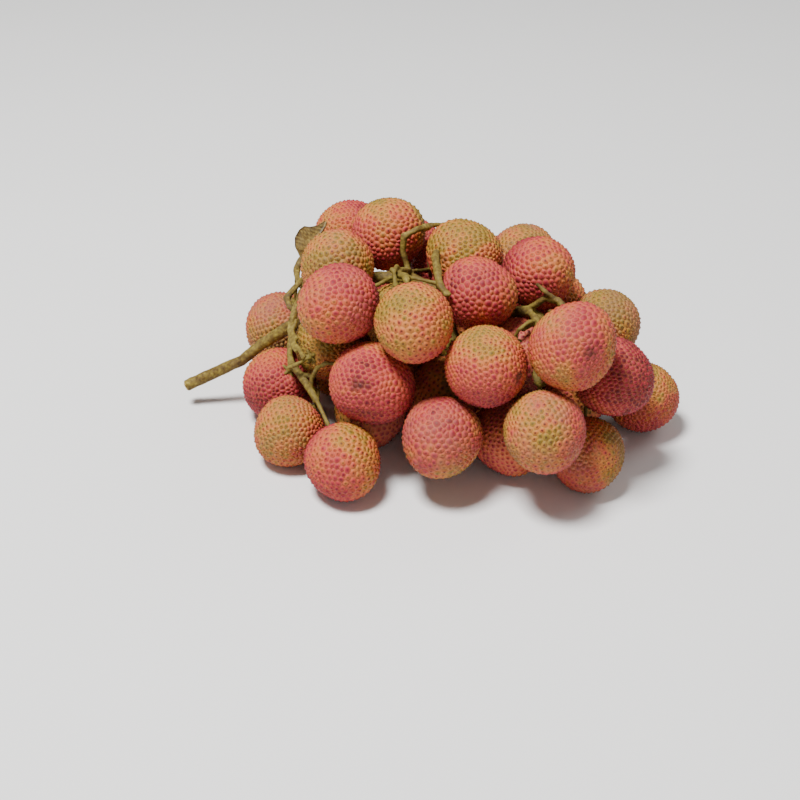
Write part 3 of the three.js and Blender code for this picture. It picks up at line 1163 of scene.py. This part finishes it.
@dataclass
class CalyxStars:
    """The dried calyx round the end of each stalklet: a small star of pointed lobes."""

    bark: bpy.types.Material
    forms: list[FruitForm]
    lobes: int = 5
    steps: int = 6
    notch: float = 1.7 * MM
    reach: float = 3.6 * MM
    shortest: float = 0.8
    longest: float = 1.1
    pointedness: float = 1.5
    thickness: float = 0.3 * MM
    lift: float = 0.5 * MM
    middle_lift: float = 1.1 * MM
    unevenness: float = 0.1 * MM
    youth: float = 0.4

    def star(self, bm: bmesh.types.BMesh, form: FruitForm, rng: np.random.Generator) -> None:
        """Adds the star of one fruit.

        Args:
            bm: The mesh that gets it.
            form: The fruit's form.
            rng: The source of random numbers.
        """
        turn = form.turn(rng.uniform(0, FULL_TURN)).to_3x3()
        sides = self.lobes * self.steps
        ring = bmesh.ops.create_circle(bm, cap_ends=True, segments=sides, radius=1.0)["verts"]
        face = ring[0].link_faces[0]
        middle = bmesh.ops.poke(bm, faces=[face])["verts"][0]
        lengths = rng.uniform(self.shortest, self.longest, self.lobes)
        for k, vertex in enumerate(sorted(ring, key=lambda v: math.atan2(v.co.y, v.co.x))):
            lobe = (0.5 + 0.5 * math.cos(FULL_TURN * k / self.steps)) ** self.pointedness
            out = self.notch + (self.reach - self.notch) * lobe * lengths[k // self.steps]
            slant = out / form.width
            aside = math.sin(slant)
            way = turn @ Vector((vertex.co.x * aside, vertex.co.y * aside, math.cos(slant)))
            rind = form.radius(np.array([way]))[0]
            above = rind + self.lift + rng.normal(0, self.unevenness)
            vertex.co = Vector(form.centre) + way * above
        rind = form.radius(np.array([form.stalkward]))[0]
        middle.co = Vector(form.centre + form.stalkward * (rind + self.middle_lift))

    def build(self) -> None:
        """Builds the stars."""
        rng = np.random.default_rng(SEED)
        bm = bmesh.new()
        for form in self.forms:
            self.star(bm, form, rng)
        bmesh.ops.recalc_face_normals(bm, faces=bm.faces[:])
        bmesh.ops.solidify(bm, geom=bm.faces[:], thickness=self.thickness)
        bmesh.ops.recalc_face_normals(bm, faces=bm.faces[:])
        mesh = bpy.data.meshes.new("calyx_stars")
        bm.to_mesh(mesh)
        bm.free()
        move_vertices(mesh, vertex_places(mesh))
        store(mesh, "young", np.full(len(mesh.vertices), self.youth))
        store(mesh, "cut_wood", np.zeros(len(mesh.vertices)))
        place_piece(mesh, "calyx_stars", self.bark)


@dataclass
class Leaflet:
    """The dried leaflet: thinner than its solid, with side veins and a crumpled blade."""

    finish: bpy.types.Material
    cuts: int = 5
    smooth_factor: float = 0.5
    thinning: float = 0.2 * MM
    crumple: float = 0.45 * MM
    crumple_scale: float = 260.0
    crumple_way: Place = (0.3, 0.3, 1.0)
    vein_pitch: float = 2.6 * MM
    vein_rise: float = 0.08 * MM
    vein_slant: float = 0.8
    vein_sharpness: int = 4

    def fine_blade(self, bm: bmesh.types.BMesh) -> None:
        """Cuts the solid's faces up and rounds its edges.

        Args:
            bm: The leaflet's solid.
        """
        bmesh.ops.subdivide_edges(bm, edges=bm.edges[:], cuts=self.cuts, use_grid_fill=True)
        axes = {"use_axis_x": True, "use_axis_y": True, "use_axis_z": True}
        bmesh.ops.smooth_vert(bm, verts=bm.verts[:], factor=self.smooth_factor, **axes)
        bm.normal_update()

    def build(self) -> None:
        """Builds the leaflet in the place of its node."""
        mesh = merged_copy("leaflet")
        bm = bmesh.new()
        bm.from_mesh(mesh)
        self.fine_blade(bm)
        places = np.array([vertex.co for vertex in bm.verts])
        middle = places.mean(axis=0)
        along = np.linalg.svd(places - middle, full_matrices=False)[2][0]
        lowest = places[:, 2].min()
        veins = []
        for vertex, place in zip(bm.verts, places):
            run = (place - middle) @ along + self.vein_slant * (place[2] - lowest)
            wave = math.cos(FULL_TURN * run / self.vein_pitch)
            vein = max(0.0, wave) ** self.vein_sharpness
            crumple = noise.noise(vertex.co * self.crumple_scale)
            vertex.co += vertex.normal * (self.vein_rise * vein - self.thinning)
            vertex.co += Vector(self.crumple_way) * (self.crumple * crumple)
            veins.append(vein)
        bm.to_mesh(mesh)
        bm.free()
        store(mesh, "vein", np.array(veins))
        piece = place_piece(mesh, "dried_leaflet", self.finish)
        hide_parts("leaflet")


@dataclass(frozen=True)
class SoftLight:
    """A soft square light, with its place and its side in metres and its power in watts."""

    name: str
    place: Place
    side: float
    power: float

    def hang(self, target: Place) -> None:
        """Hangs the light.

        Args:
            target: Where it faces.
        """
        lamp = bpy.data.lights.new(self.name, "AREA")
        lamp.size = self.side
        lamp.energy = self.power
        holder = bpy.data.objects.new(self.name, lamp)
        holder.location = self.place
        holder.rotation_mode = "QUATERNION"
        way = Vector(target) - Vector(self.place)
        holder.rotation_quaternion = way.to_track_quat("-Z", "Y")
        bpy.context.scene.collection.objects.link(holder)


@dataclass
class Studio:
    """The pale floor, the soft lights and the camera."""

    floor_half: float = 3.0
    lights: tuple[SoftLight, ...] = (
        SoftLight("key", (-0.2, -0.4, 1.3), 0.35, 39.0),
        SoftLight("fill", (1.0, -0.9, 0.6), 0.9, 2.0),
        SoftLight("back", (0.6, 1.0, 0.9), 0.8, 5.0),
    )
    lit_place: Place = (0, 0, 0.04)
    air: Colour = (1.0, 0.985, 0.96, 1)
    air_strength: float = 0.21
    azimuth: float = 30.2
    elevation: float = 33.4
    roll: float = 1.3
    lens: float = 62.5
    sensor: float = 36.0
    distance: float = 0.62
    nearest: float = 0.02
    picture: float = 800.0
    aim_x: float = 435.0
    aim_y: float = 330.0

    def lay_floor(self) -> None:
        """Lays the floor."""
        bm = bmesh.new()
        bmesh.ops.create_grid(bm, x_segments=1, y_segments=1, size=self.floor_half)
        mesh = bpy.data.meshes.new("floor")
        bm.to_mesh(mesh)
        bm.free()
        mesh.materials.append(FloorFinish().build())
        piece = bpy.data.objects.new("floor", mesh)
        bpy.context.scene.collection.objects.link(piece)

    def set_surroundings(self) -> None:
        """Sets the pale light that comes from all round."""
        world = bpy.data.worlds.new("surroundings")
        world.use_nodes = True
        background = world.node_tree.nodes["Background"]
        background.inputs["Color"].default_value = self.air
        background.inputs["Strength"].default_value = self.air_strength
        bpy.context.scene.world = world

    def set_camera(self) -> None:
        """Sets the camera at the photograph's angle, aimed so that the bunch fills the picture."""
        low, high = CAD_BOX
        azimuth, elevation = math.radians(self.azimuth), math.radians(self.elevation)
        level = math.cos(elevation)
        back = Vector((math.sin(azimuth) * level, -math.cos(azimuth) * level, math.sin(elevation)))
        roll = Matrix.Rotation(math.radians(self.roll), 4, "Z").to_quaternion()
        turn = (-back).to_track_quat("-Z", "Y") @ roll
        pixel = self.distance * self.sensor / self.lens / self.picture
        aside = (self.aim_x - self.picture / 2) * pixel
        above = (self.picture / 2 - self.aim_y) * pixel
        data = bpy.data.cameras.new("camera")
        data.lens, data.sensor_width = self.lens, self.sensor
        data.clip_start = self.nearest
        camera = bpy.data.objects.new("camera", data)
        camera.rotation_mode = "QUATERNION"
        camera.rotation_quaternion = turn
        shift = turn @ Vector((aside, above, 0))
        camera.location = (low + high) / 2 + back * self.distance - shift
        bpy.context.scene.collection.objects.link(camera)
        bpy.context.scene.camera = camera

    def build(self) -> None:
        """Sets up the studio."""
        self.lay_floor()
        for light in self.lights:
            light.hang(self.lit_place)
        self.set_surroundings()
        self.set_camera()


def main() -> None:
    """Builds the bunch and its studio."""
    logging.basicConfig(level=logging.INFO, format="%(name)s: %(message)s")
    effects = SharedEffects(mottle_group(), spots_group(), dust_group())
    fruits = Fruits(RindFinish().build(effects))
    fruits.build()
    bark = BarkFinish().build(effects)
    Stem(bark, fruits.forms).build()
    CalyxStars(bark, fruits.forms).build()
    Leaflet(DriedLeafFinish().build(effects)).build()
    Studio().build()


if __name__ == "__main__":
    main()
